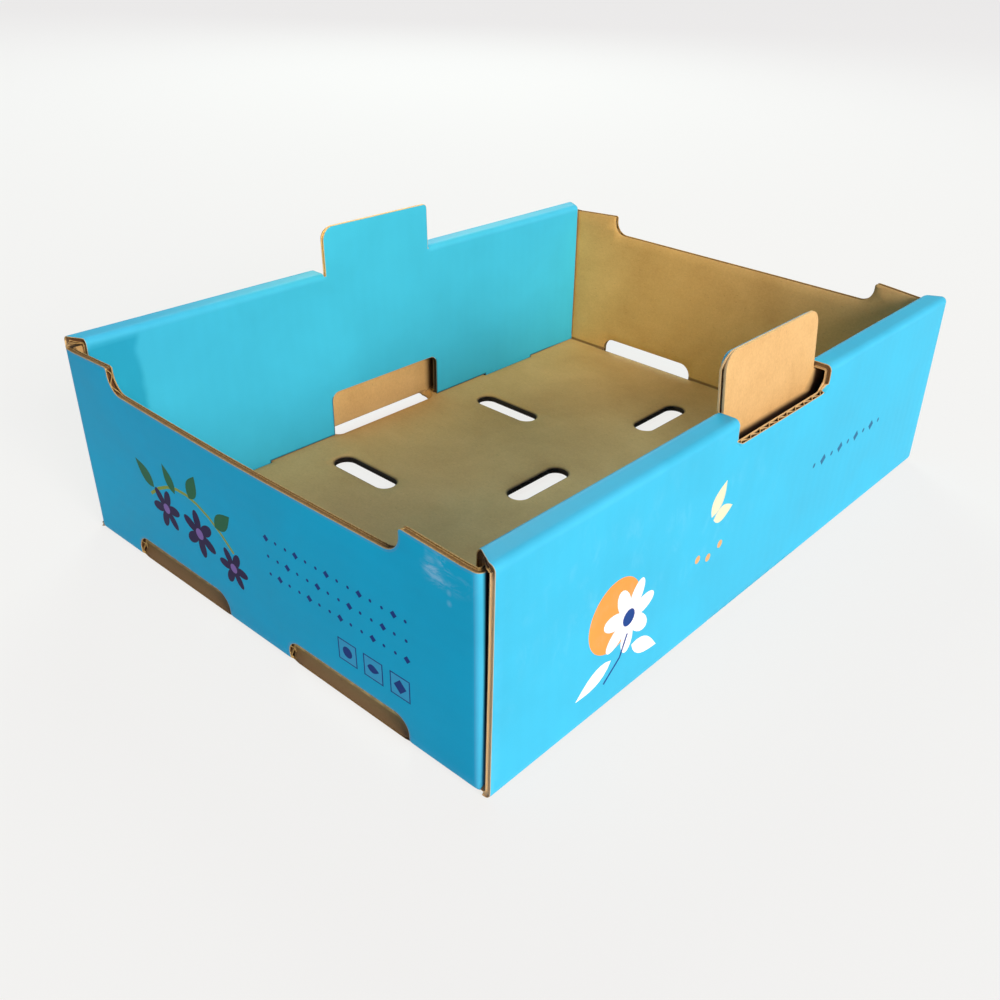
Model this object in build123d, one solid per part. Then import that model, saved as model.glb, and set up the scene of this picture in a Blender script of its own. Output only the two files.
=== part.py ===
from build123d import *
import os

# A produce tray folded from one die-cut sheet of single-wall corrugated board.
# The long side walls roll over the top and come back down inside, where they lock into the floor.
# The end walls are one layer thick, and their corner flaps stand inside the hollow side walls.
# Each side wall carries a tab that stands above the rim and enters the floor of the tray above.
# Frame: X along the side walls, Y across the tray, Z up, origin under the middle of the floor.

# the board
board = 4.0              # thickness of the corrugated board
fold_radius = 3.0        # round outside of every fold
layer_gap = 0.35         # air between layers that lie side by side
butt_gap = 0.7           # air between a panel's end and the wall that it butts against
seat_gap = 0.25          # air under a panel that stands on the floor
flute_pitch = 7.7        # the fluted sheet between the liners repeats after this length
liner = 0.45             # thickness of each of the two liners
flute_wall = 0.5         # thickness of the fluted sheet
flute_view = 1.5         # how deep the flutes are cut out where a raw edge shows them

# the tray
tray_length = 380.0      # over the end walls
tray_width = 276.0       # over the outer side panels
wall_height = 104.0      # floor's underside to the rim's top
side_setback = 0.5       # outer side panels stop this far short of the end walls' outer faces

# the end walls
flap_headroom = 0.4      # air between a corner flap and the rim folded over it
dip_length = 190.0       # low middle stretch of an end wall's top edge
dip_drop = 12.0          # how far that low stretch lies below the shoulders beside it
shoulder_rise = 2.4      # how far a shoulder rises from the rim to the low stretch
dip_corner_radius = 8.5  # where the low stretch turns up to a shoulder
shoulder_lip_radius = 1.5
vent_length = 74.0
vent_height = 13.0       # above the floor's underside
vent_spacing = 117.2     # between the middles of an end wall's two vents
vent_corner_radius = 8.0
vent_ledge_setback = 1.2  # floor's raw edge in a vent, behind the end wall's outer face
vent_ledge_slope = 3.6   # stretch of floor beside that edge that the knife pressed down
vent_ledge_drop = 2.6    # by this much at the edge
corner_slit = 0.4        # die cut between an end fold and the strip of floor beside it
flap_length = 80.0
flap_corner_radius = 8.0

# the slots in the floor
slot_length = 46.0
slot_width = 13.5
end_slot_spacing = 241.0     # between the two outer slots on the tray's centre line
cross_slot_spacing_x = 120.6  # the four slots that lie across the tray
cross_slot_spacing_y = 156.0

# the stacking tabs, and the ways they take through the tray above
tab_width = 78.0
tab_rise = 26.7          # above the rim
tab_corner_radius = 7.0
cutout_play = 0.8        # on each side, between a tab and the hole it was cut from
cutout_depth = 13.0      # below the rim, in the outer side panel
cutout_corner_radius = 6.0
stack_play = 2.0         # on each end of a tab, in the floor slot of the tray above
stack_side_play = 0.4    # on the tab's inner face, in that slot
stack_slot_corner_radius = 3.5
notch_margin = 2.0       # notch beyond each end of the stacking slot
notch_headroom = 4.5     # above the tab of the tray below
notch_corner_radius = 5.0

# the lock tabs under the inner side panels
lock_tab_length = 48.0
lock_tab_spacing = 228.0  # between the middles of a panel's two lock tabs
lock_tab_corner_radius = 3.0
lock_tip_height = 0.5    # the tip stops this far above the floor's underside
lock_play_length = 0.5   # on each end, between a lock tab and its slot
lock_play_side = 0.3     # on each face

# what follows from those sizes
half_length = tray_length / 2
half_width = tray_width / 2
rim_width = 2 * board + board + 2 * layer_gap   # two panels with a corner flap between them
inner_face = half_width - rim_width             # side wall's face inside the tray
inner_back = inner_face + board                 # the same panel's face in the hollow
outer_back = half_width - board                 # outer side panel's face in the hollow
flap_outer = outer_back - layer_gap
flap_inner = flap_outer - board
shoulder_height = wall_height - board - flap_headroom
lip_height = shoulder_height + shoulder_rise
dip_edge_height = lip_height - dip_drop
side_half = half_length - side_setback
inner_half = half_length - board - butt_gap
end_fold_half = flap_outer - fold_radius        # half the length of an end wall's bottom fold
panel_foot = board + seat_gap
tab_top = wall_height + tab_rise
cutout_half = tab_width / 2 + cutout_play
cutout_floor = wall_height - cutout_depth
stack_slot_half = tab_width / 2 + stack_play
notch_half = stack_slot_half + notch_margin
notch_top = tab_rise + notch_headroom
over = 1.0               # how far a cutter reaches past what it cuts


def rounded_face(plane, points, rounds):
    """A face on the plane, from a closed outline and a radius for each corner named by its place in the list."""
    face = plane * make_face(Polyline(*points, close=True))
    for index, radius in rounds.items():
        corner = plane.from_local_coords(points[index])
        near = sorted(face.vertices(), key=lambda v: (Vector(v) - corner).length)[:1]
        face = fillet(near, radius)
    return face


def block(x0, x1, y0, y1, z0, z1):
    """A straight block between two opposite corners."""
    return Pos((x0 + x1) / 2, (y0 + y1) / 2, (z0 + z1) / 2) * Box(x1 - x0, y1 - y0, z1 - z0)


def both_sides(shape, plane):
    """A shape and its mirror image."""
    return shape + mirror(shape, about=plane)


def flute_openings():
    """The open flutes in the raw edge at the foot of a cut-out, pointing to one liner and the other by turns."""
    pitches = int((cutout_half - cutout_corner_radius) / flute_pitch)
    reach = flute_pitch / 2 - flute_wall
    near, far = outer_back + liner, half_width - liner
    openings = Sketch()
    for step in range(-2 * pitches, 2 * pitches + 1):
        x = step * flute_pitch / 2
        base, tip = (near, far - flute_wall) if step % 2 else (far, near + flute_wall)
        openings += make_face(Polyline((x - reach, base), (x + reach, base), (x, tip), close=True))
    return Pos(0, 0, cutout_floor - flute_view) * extrude(openings, amount=flute_view + over)


def side_wall():
    """Half of the floor with one roll-over side wall, as one folded section along the tray."""
    section = rounded_face(Plane.YZ, [
        (0, 0),
        (half_width, 0),
        (half_width, wall_height),
        (inner_face, wall_height),
        (inner_face, panel_foot),
        (inner_back, panel_foot),
        (inner_back, wall_height - board),
        (outer_back, wall_height - board),
        (outer_back, board),
        (0, board),
    ], {1: fold_radius, 2: fold_radius, 3: fold_radius})
    wall = extrude(section, amount=side_half, both=True)

    # the rim's ends taper from the outer panel's length to the shorter inner panel's
    end_trim = Plane.XY.offset(panel_foot - seat_gap / 2) * make_face(Polyline(
        (inner_half, inner_face - over),
        (inner_half, inner_back),
        (side_half, outer_back),
        (half_length + over, outer_back),
        (half_length + over, inner_face - over),
        close=True))
    wall -= both_sides(extrude(end_trim, amount=wall_height), Plane.YZ)

    # the floor gives way to the end walls' bottom folds
    fold_room = block(half_length - fold_radius, half_length + over, -over, end_fold_half + corner_slit,
                      -over, panel_foot - seat_gap / 2)
    wall -= both_sides(fold_room, Plane.YZ)

    # the stacking tab leaves a hole in the rim and the outer panel, and stands up in the inner panel's plane
    cutout = rounded_face(Plane.XZ, [
        (-cutout_half, cutout_floor),
        (cutout_half, cutout_floor),
        (cutout_half, wall_height + over),
        (-cutout_half, wall_height + over),
    ], {0: cutout_corner_radius, 1: cutout_corner_radius})
    wall -= Pos(0, inner_back, 0) * extrude(cutout, amount=-(rim_width - board + over))
    wall -= block(-cutout_half, cutout_half, inner_face - over, inner_back + over,
                  wall_height - board, wall_height + over)
    tab = rounded_face(Plane.XZ, [
        (-tab_width / 2, wall_height - 2 * board),
        (tab_width / 2, wall_height - 2 * board),
        (tab_width / 2, tab_top),
        (-tab_width / 2, tab_top),
    ], {2: tab_corner_radius, 3: tab_corner_radius})
    wall += Pos(0, inner_face, 0) * extrude(tab, amount=-board)
    wall -= flute_openings()

    # the notch above the stacking slot lets the tab of the tray below come up
    notch = rounded_face(Plane.XZ, [
        (-notch_half, board),
        (notch_half, board),
        (notch_half, notch_top),
        (-notch_half, notch_top),
    ], {2: notch_corner_radius, 3: notch_corner_radius})
    wall -= Pos(0, inner_face - over, 0) * extrude(notch, amount=-(board + over + layer_gap))
    slot = Pos(0, (inner_face - stack_side_play + outer_back) / 2) * RectangleRounded(
        2 * stack_slot_half, outer_back - inner_face + stack_side_play, stack_slot_corner_radius)
    wall -= Pos(0, 0, -over) * extrude(slot, amount=board + over)

    # lock tabs reach down through slots in the floor
    for middle in (-lock_tab_spacing / 2, lock_tab_spacing / 2):
        lock_half = lock_tab_length / 2
        wall -= block(middle - lock_half - lock_play_length, middle + lock_half + lock_play_length,
                      inner_face - lock_play_side, inner_back + lock_play_side, -over, board)
        lock_tab = rounded_face(Plane.XZ, [
            (middle - lock_half, lock_tip_height),
            (middle + lock_half, lock_tip_height),
            (middle + lock_half, panel_foot + board),
            (middle - lock_half, panel_foot + board),
        ], {0: lock_tab_corner_radius, 1: lock_tab_corner_radius})
        wall += Pos(0, inner_face, 0) * extrude(lock_tab, amount=-board)
    return wall


def end_wall():
    """One end wall with its bottom fold and its two corner flaps."""
    root = half_length - 4 * board
    section = rounded_face(Plane.XZ, [
        (root, 0),
        (half_length, 0),
        (half_length, lip_height),
        (half_length - board, lip_height),
        (half_length - board, board),
        (root, board),
    ], {1: fold_radius})
    wall = extrude(section, amount=end_fold_half, both=True)

    # corner flap: turns round a vertical fold and runs back inside the hollow side wall
    flap = rounded_face(Plane.XY, [
        (half_length, end_fold_half - 2 * board),
        (half_length, flap_outer),
        (half_length - flap_length, flap_outer),
        (half_length - flap_length, flap_inner),
        (half_length - board, flap_inner),
        (half_length - board, end_fold_half - 2 * board),
    ], {1: fold_radius})
    flap = extrude(Pos(0, 0, panel_foot) * flap, amount=shoulder_height - panel_foot)
    free_corners = flap.edges().filter_by(Axis.Y).group_by(Axis.X)[0]
    flap = fillet(free_corners, flap_corner_radius)
    wall += both_sides(flap, Plane.XZ)

    # the top edge dips between two shoulders, which rise from under the rims
    top_cut = rounded_face(Plane.YZ, [
        (half_width, wall_height),
        (half_width, shoulder_height),
        (inner_face, shoulder_height),
        (dip_length / 2, lip_height),
        (dip_length / 2, dip_edge_height),
        (-dip_length / 2, dip_edge_height),
        (-dip_length / 2, lip_height),
        (-inner_face, shoulder_height),
        (-half_width, shoulder_height),
        (-half_width, wall_height),
    ], {3: shoulder_lip_radius, 4: dip_corner_radius, 5: dip_corner_radius, 6: shoulder_lip_radius})
    wall -= Pos(half_length - board - over, 0, 0) * extrude(top_cut, amount=board + 2 * over)

    # two vents, cut down to the fold, show the floor's raw edge
    for middle in (-vent_spacing / 2, vent_spacing / 2):
        vent = rounded_face(Plane.YZ, [
            (middle - vent_length / 2, -over),
            (middle + vent_length / 2, -over),
            (middle + vent_length / 2, vent_height),
            (middle - vent_length / 2, vent_height),
        ], {2: vent_corner_radius, 3: vent_corner_radius})
        wall -= Pos(half_length - vent_ledge_setback, 0, 0) * extrude(vent, amount=vent_ledge_setback + over)
        through = Pos(half_length - board - over, 0, 0) * extrude(vent, amount=board + 2 * over)
        wall -= through - block(0, half_length + 2 * over, -half_width, half_width, -2 * over, board)
        ledge = half_length - vent_ledge_setback
        slope = Plane.XZ * make_face(Polyline(
            (ledge - vent_ledge_slope, board),
            (ledge, board),
            (ledge, board - vent_ledge_drop),
            close=True))
        wall -= Pos(0, middle, 0) * extrude(slope, amount=vent_length / 2, both=True)
    return wall


def floor_slots():
    """The seven round-ended slots in the floor: three on the centre line and four across it."""
    along = SlotOverall(slot_length, slot_width)
    across = SlotOverall(slot_length, slot_width, rotation=90)
    slots = Sketch() + [Pos(x, 0) * along for x in (-end_slot_spacing / 2, 0, end_slot_spacing / 2)]
    slots += [loc * across for loc in GridLocations(cross_slot_spacing_x, cross_slot_spacing_y, 2, 2)]
    return Pos(0, 0, -over) * extrude(slots, amount=board + 2 * over)


tray_box = both_sides(side_wall(), Plane.XZ) + both_sides(end_wall(), Plane.YZ) - floor_slots()
tray_box = tray_box.clean()

os.makedirs("parts", exist_ok=True)
export_step(tray_box, "parts/tray_box.step")
print("solids", len(tray_box.solids()), "volume", round(tray_box.volume), "valid", tray_box.is_valid)
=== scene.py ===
import math
import bpy
import numpy as np
from mathutils import Euler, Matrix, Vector, noise
from mathutils.geometry import delaunay_2d_cdt


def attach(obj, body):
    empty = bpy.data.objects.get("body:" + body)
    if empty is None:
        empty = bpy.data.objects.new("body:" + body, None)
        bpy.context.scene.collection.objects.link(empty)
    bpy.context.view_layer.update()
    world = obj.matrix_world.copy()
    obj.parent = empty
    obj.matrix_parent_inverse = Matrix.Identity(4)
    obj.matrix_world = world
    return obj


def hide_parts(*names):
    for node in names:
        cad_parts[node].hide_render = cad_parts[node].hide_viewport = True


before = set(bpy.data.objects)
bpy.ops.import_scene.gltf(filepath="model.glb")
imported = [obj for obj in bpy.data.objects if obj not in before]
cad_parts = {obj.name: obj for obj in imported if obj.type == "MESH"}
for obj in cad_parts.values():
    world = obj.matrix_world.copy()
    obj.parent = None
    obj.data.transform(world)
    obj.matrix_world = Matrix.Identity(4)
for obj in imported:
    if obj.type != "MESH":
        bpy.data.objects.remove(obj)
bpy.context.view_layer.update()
print("frame loaded:", sorted(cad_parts))

# The tray is one sheet of corrugated board. It is laid out flat here, in millimetres: x runs along the tray,
# v across it, and each point also has a depth w, 0 on the printed side and 1 on the kraft side.
# foldUp then bends the flat sheet into the tray.
board = {
    "thickness": 4.0,
    "foldRadius": 3.0,       # outside of every fold
    "pinchRadius": 0.4,      # inside of every fold
    "squeezeZone": 4.0,      # stretch beside a fold where the inner liner is pushed together
    "liner": 0.42,
    "fluteWall": 0.46,
    "flutePitch": 7.7,
    "flutePhase": 1.1,
    "pocketDepth": 2.2,      # how far one can see into a cut flute
    "edgeRow": 1.3,          # strip beside a cut where the knife presses the board thinner
    "filmDrop": 0.12, "kraftDrop": 0.75,
    # how much thinner the stacking tabs are at their upright edges and along their tops, front and back
    "tabSideDrop": (0.5, 1.7), "tabTopDrop": (0.4, 2.5),
    "tabFilmDrop": (2.3, 0.0),   # along their tops from the printed side
    "tabSkin": 1.1,          # the liners look thick on the tabs' edges
    "tabSqueeze": 8.0,       # height over which a tab's root regains the full thickness
    "panelDrop": 1.5,        # how much thinner the outer panels' upright ends are
    "ledgeDrop": 2.7, "ledgeRow": 3.6,   # and the floor's edge in the vents
    "ventBlend": 1.2,        # width beside a vent's ends where the flat floor turns into the fold
    "slotEndDrop": 2.2, "slotEndRow": 1.3,   # extra, at the back stacking slot's far end
    "slotEndZone": (4.0, 9.0),   # how far from the slot's end that fades in
    "creaseShift": 2.0,      # the crease mark at the end walls' foot (wear with a painted highlight on the printed side, a score line with painted shade on the kraft side) is this much wider
    "creaseEdge": (-0.6, 1.4),   # the crease mark fades out across this strip at a fold's edge
    "foldSteps": 6,          # rows of points round a fold
    "waveStep": 0.6,         # spacing of the points along a cut that shows the flutes
    "plainStep": 4.0,
    "gridStep": 8.0,
}
tray = {
    "length": 380.0, "width": 276.0, "wallHeight": 104.0, "rimWidth": 12.7,
    "sideSetback": 0.5, "innerSetback": 4.7, "layerGap": 0.35, "panelFoot": 4.25,
    "shoulderHeight": 99.6, "lipHeight": 102.0, "lipRadius": 1.5,
    "dipLength": 190.0, "dipHeight": 90.0, "dipRadius": 8.5,
    "ventLength": 74.0, "ventHeight": 13.0, "ventSpacing": 117.2, "ventRadius": 8.0, "ventLedge": 1.2,
    "cornerSlit": 0.4, "cornerClear": 3.5, "bandFoot": 0.5, "flapLength": 80.0, "flapRadius": 8.0,
    "slotLength": 46.0, "slotWidth": 13.5, "endSlotX": 120.5, "crossSlotX": 60.3, "crossSlotY": 78.0,
    "tabHalf": 39.0, "tabTop": 130.7, "tabRadius": 7.0, "tabPlay": 0.8, "tabRootRise": 1.6,
    "cutoutHeight": 91.0, "cutoutRadius": 6.0,
    "crispTabRadius": 2.5, "crispCutoutRadius": 3.5,   # the back tab's far corner is nearly square
    "stackHalf": 41.0, "stackInner": 124.9, "stackFarEnd": 0.6,
    "stackOver": (1.2, 3.2),   # how far the stacking slots run into the side walls' folds, front and back
    "stackRadius": (4.0, 4.0, 2.0, 10.0),   # near end's inner and outer corner, far end's outer and inner
    "notchHalf": 43.0, "notchTop": 31.2, "notchRadius": 5.0,
    "lockHalf": 24.0, "lockX": 114.0, "lockRadius": 3.0, "lockTip": 0.5,
    "lockEndPlay": 0.5, "lockSidePlay": 0.3,
}
# how the real tray leans and bows, as the photograph shows it
lean = {
    "nearEndTop": 5.8, "farEndTop": 1.9, "frontTop": -0.8, "backTop": 1.4, "panelFootIn": 0.9,
    "cornerShare": 0.62, "cornerPower": 1.7,   # how much of the ends' lean is lost towards the corners
    "sideZone": (100.0, 124.0),   # across the tray, where the side walls' lean sets in
    # the back outer panel's near end hides behind the corner fold, up to the rim
    "backPanelEnd": 2.7, "backPanelZone": 16.0, "backPanelFade": (76.0, 98.0),
    "waviness": 0.35, "wavelength": 95.0, "wavesFrom": 12.0, "waveSeed": 4,
    # the stacking tabs with their cut-outs sit a little aside, front and back, and lean and stand lower
    "tabAside": (5.5, -2.0), "tabWider": (0.05, 0.02), "tabIn": (2.0, -1.0), "tabReach": (0.98, 0.965),
    "asideAlong": (60.0, 150.0), "asideUp": (36.0, 84.0),   # the wall around them moves along with them
}

radius = board["foldRadius"]
thick = board["thickness"]
quarter = radius * math.pi / 2
halfLength = tray["length"] / 2
halfWidth = tray["width"] / 2
innerFace = halfWidth - tray["rimWidth"]
innerBack = innerFace + thick
sideHalf = halfLength - tray["sideSetback"]
innerHalf = halfLength - tray["innerSetback"]
flapOuter = halfWidth - thick - tray["layerGap"]

# stations: distances along the sheet from its middle to each fold
floorEndX = halfLength - radius
uprightStart = floorEndX + quarter
floorEndV = halfWidth - radius
wallStart = floorEndV + quarter
wallEnd = wallStart + tray["wallHeight"] - 2 * radius
rimStart = wallEnd + quarter
rimEnd = rimStart + tray["rimWidth"] - 2 * radius
panelStart = rimEnd + quarter
endFold = flapOuter - radius
flapStart = endFold + quarter
slitMiddle = endFold + tray["cornerSlit"] / 2
bandFoot = floorEndX + radius * math.acos(1 - tray["bandFoot"] / radius)   # the corner fold's lowest point
bandLow, bandTop = endFold + 2.4, endFold + 3.4   # where the corner fold's raw edge turns up


def uprightAt(z):
    return uprightStart + z - radius


def outerPanelAt(z):
    return wallStart + z - radius


def rimAt(y):
    return rimStart + halfWidth - radius - y


def innerPanelAt(z):
    return panelStart + tray["wallHeight"] - radius - z


def flapAt(depth):
    return flapStart + depth - radius


# the stacking tab stands up where its cut-out lies in the flat sheet, so its height is drawn out
tabRoot = tray["wallHeight"] - radius
tabTopStation = outerPanelAt(tray["cutoutHeight"]) + tray["tabPlay"]
tabStretch = (tray["tabTop"] - tabRoot) / (panelStart - tabTopStation)


def foldedPath(corners):
    # a section through the folded board, from its sharp outer corners, with the board on the left
    legs, station = [], 0.0
    last = len(corners) - 2
    for i in range(len(corners) - 1):
        start, end = np.array(corners[i], float), np.array(corners[i + 1], float)
        length = np.linalg.norm(end - start)
        along = (end - start) / length
        trimStart = radius if i else 0.0
        trimEnd = radius if i < last else 0.0
        flat = length - trimStart - trimEnd
        inward = np.array((-along[1], along[0]))
        legs.append({"start": start, "along": along, "inward": inward, "length": length, "from": station,
                     "to": station + flat, "trimStart": trimStart, "trimEnd": trimEnd})
        station += flat + (quarter if i < last else 0.0)
    return legs


def alongPath(path, station):
    # outer and inner surface of the section at each station
    outer, inner = np.zeros((len(station), 2)), np.zeros((len(station), 2))
    pinch = thick + board["pinchRadius"]
    for i, leg in enumerate(path):
        on = station >= leg["from"] - 1e-6 if i == len(path) - 1 else (
            (station >= leg["from"] - 1e-6) & (station <= leg["to"] + 1e-6))
        a = station[on] - leg["from"] + leg["trimStart"]
        b = a.copy()
        flat = leg["to"] - leg["from"]
        zone = min(board["squeezeZone"], flat / 2)
        if leg["trimStart"]:
            near = a < radius + zone
            b[near] = pinch + (a[near] - radius) * (radius + zone - pinch) / zone
        if leg["trimEnd"]:
            left = leg["length"] - a
            near = left < radius + zone
            b[near] = leg["length"] - (pinch + (left[near] - radius) * (radius + zone - pinch) / zone)
        outer[on] = leg["start"] + a[:, None] * leg["along"]
        inner[on] = leg["start"] + b[:, None] * leg["along"] + thick * leg["inward"]
        if i < len(path) - 1:
            turn = (station > leg["to"]) & (station < path[i + 1]["from"])
            angle = (station[turn] - leg["to"]) / radius
            corner = leg["start"] + leg["length"] * leg["along"]
            way = np.sin(angle)[:, None] * leg["along"] - np.cos(angle)[:, None] * leg["inward"]
            outer[turn] = corner + radius * (leg["inward"] - leg["along"]) + radius * way
            inner[turn] = corner + pinch * (leg["inward"] - leg["along"]) + board["pinchRadius"] * way
    return outer, inner


sidePath = foldedPath([(0, 0), (halfWidth, 0), (halfWidth, tray["wallHeight"]),
                       (innerFace, tray["wallHeight"]), (innerFace, tray["lockTip"])])
endPath = foldedPath([(0, 0), (halfLength, 0), (halfLength, tray["lipHeight"])])
cornerPath = foldedPath([(0, 0), (flapOuter, 0), (flapOuter, tray["flapLength"])])


def smooth(value, low, high):
    t = np.clip((value - low) / (high - low), 0, 1)
    return t * t * (3 - 2 * t)


def belongsToEnd(x, v):
    # true for points of the end walls and their corner flaps, which a slanting line parts from the side's
    ax, av = np.abs(x), np.abs(v)
    cornerLine = np.interp(av, (bandLow, bandTop), (floorEndX + 0.6, sideHalf + 0.25))
    return ((ax > floorEndX) & (av < slitMiddle)) | (ax > cornerLine)


def foldUp(x, v, w):
    # bends points of the flat sheet into the tray; also gives how far along the board each point really lies
    ax, av = np.abs(x), np.abs(v)
    place = np.zeros((len(x), 3))
    trueV = v.copy()
    onEnd = belongsToEnd(x, v)
    side = ~onEnd
    outer, inner = alongPath(sidePath, av[side])
    yz = outer + (inner - outer) * w[side, None]
    sideX, sideV, sideW = ax[side], av[side], w[side]
    # in the flat sheet the tab lies inside its cut-out, within a box with corners rounded between the two
    bend = np.where((x[side] > 0) & (v[side] > 0), tray["crispTabRadius"] + 0.3, tray["tabRadius"] - 0.1)
    half = tray["tabHalf"] + tray["tabPlay"] / 2
    beyondX = np.maximum(sideX - (half - bend), 0)
    beyondV = np.maximum(tabTopStation - tray["tabPlay"] / 2 + bend - sideV, 0)
    onTab = (np.hypot(beyondX, beyondV) < bend) & (sideV < panelStart)
    rise = (panelStart - sideV[onTab]) * tabStretch
    squeezed = (thick + board["pinchRadius"] - radius) * np.clip(1 - rise / board["tabSqueeze"], 0, 1)
    yz[onTab, 0] = innerFace + thick * sideW[onTab]
    yz[onTab, 1] = tabRoot + rise - squeezed * sideW[onTab]
    aside, wider, tabIn, reach = (np.where(v[side] < 0, *lean[name]) for name in (
        "tabAside", "tabWider", "tabIn", "tabReach"))
    tabHeight = tray["tabTop"] - tray["wallHeight"]
    above = np.clip((yz[:, 1] - tray["wallHeight"]) / tabHeight, 0, 1) * onTab
    yz[:, 0] -= tabIn * above
    yz[:, 1] -= (1 - reach) * tabHeight * above
    isInner = (sideV > panelStart) | onTab
    yz[isInner, 0] -= lean["panelFootIn"] * np.clip(1 - yz[isInner, 1] / tabRoot, 0, 1)
    drawnIn = smooth(sideX, sideHalf - lean["backPanelZone"], sideHalf) * (x[side] < 0) * (v[side] > 0)
    drawnIn *= (sideV > floorEndV) * (sideV < wallEnd)
    drawnIn *= (1 - smooth(yz[:, 1], *lean["backPanelFade"])) * lean["backPanelEnd"]
    moved = (1 - smooth(sideX, *lean["asideAlong"])) * smooth(yz[:, 1], *lean["asideUp"])
    place[side, 0] = x[side] + drawnIn + (aside + wider * x[side]) * moved
    place[side, 1] = yz[:, 0] * np.sign(v[side])
    place[side, 2] = yz[:, 1]
    sideTrue = sideV.copy()
    sideTrue[onTab] = panelStart - rise
    trueV[side] = sideTrue * np.sign(v[side])

    # end walls: up at the bottom fold, then round the corner folds
    up, upIn = alongPath(endPath, ax[onEnd])
    turnOut, turnIn = alongPath(cornerPath, av[onEnd])
    share = np.maximum(smooth(ax[onEnd], uprightStart, uprightAt(tray["panelFoot"])),
                       smooth(av[onEnd], endFold, endFold + 0.6))
    crossIn = av[onEnd] + (turnIn[:, 0] - av[onEnd]) * share
    outerPoint = np.stack([up[:, 0] - turnOut[:, 1], turnOut[:, 0], up[:, 1]], 1)
    innerPoint = np.stack([upIn[:, 0] + thick - turnIn[:, 1], crossIn, upIn[:, 1]], 1)
    # the ledge of floor that shows in a vent stays flat
    middle = tray["ventSpacing"] / 2
    inVent = np.abs(av[onEnd] - middle) - tray["ventLength"] / 2
    flat = (1 - smooth(inVent, -board["ventBlend"], 0)) * (ax[onEnd] < halfLength)
    flatOuter = np.stack([ax[onEnd], av[onEnd], 0 * av[onEnd]], 1)
    flatInner = flatOuter + np.array((0, 0, thick))
    outerPoint += (flatOuter - outerPoint) * flat[:, None]
    innerPoint += (flatInner - innerPoint) * flat[:, None]
    point = outerPoint + (innerPoint - outerPoint) * w[onEnd, None]
    point[:, 0] *= np.sign(x[onEnd])
    point[:, 1] *= np.sign(v[onEnd])
    place[onEnd] = point
    return bowed(place, onEnd), trueV


def bowed(place, onEnd):
    # the leans and slow waves of a tray that has been handled
    up = np.clip(place[:, 2] / tray["wallHeight"], 0, None)
    middle = 1 - lean["cornerShare"] * np.clip(np.abs(place[:, 1]) / halfWidth, 0, 1) ** lean["cornerPower"]
    place[:, 0] -= onEnd * (place[:, 0] < 0) * lean["nearEndTop"] * up * middle
    place[:, 0] += onEnd * (place[:, 0] > 0) * lean["farEndTop"] * up * middle
    outward = smooth(np.abs(place[:, 1]), *lean["sideZone"])
    place[:, 1] -= (place[:, 1] < 0) * lean["frontTop"] * up * outward
    place[:, 1] += (place[:, 1] > 0) * lean["backTop"] * up * outward
    noise.seed_set(lean["waveSeed"])   # without a seed the waves would differ from run to run
    for i, p in enumerate(place):
        # slow enough that layers lying against each other move together
        push = noise.noise_vector(Vector(p) / lean["wavelength"])
        fade = min(1.0, max(0.0, p[2] / lean["wavesFrom"]))
        place[i, 0] += push.x * lean["waviness"] * fade
        place[i, 1] += push.y * lean["waviness"] * fade
    return place


def creaseAt(x, v):
    # 1 in the middle of a fold, 0 away from it
    ax, av = np.abs(x), np.abs(v)
    onEnd = (ax > floorEndX) & (av < flapAt(tray["flapLength"]))
    away = np.where(onEnd | (av < endFold), np.abs(ax - floorEndX - quarter / 2) - board["creaseShift"], 99.0)
    away = np.minimum(away, np.where(onEnd & (ax > uprightAt(tray["panelFoot"]) - 2),
                                     np.abs(av - endFold - quarter / 2), 99.0))
    cutAway = ((ax < tray["tabHalf"] + tray["tabPlay"]) & (av > tabTopStation - 2)) | (
        (ax < tray["stackHalf"] + 2) & (av < wallEnd))
    for start in (floorEndV, wallEnd, rimEnd):
        away = np.minimum(away, np.where(onEnd | cutAway, 99.0, np.abs(av - start - quarter / 2)))
    return 1 - smooth(away, *(quarter / 2 + edge for edge in board["creaseEdge"]))


def foldRows(start):
    # the lines of points round a fold, on both sides of the sheet's middle
    steps = board["foldSteps"]
    return [s * (start + quarter * k / steps) for k in range(steps + 1) for s in (-1, 1)]


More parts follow.
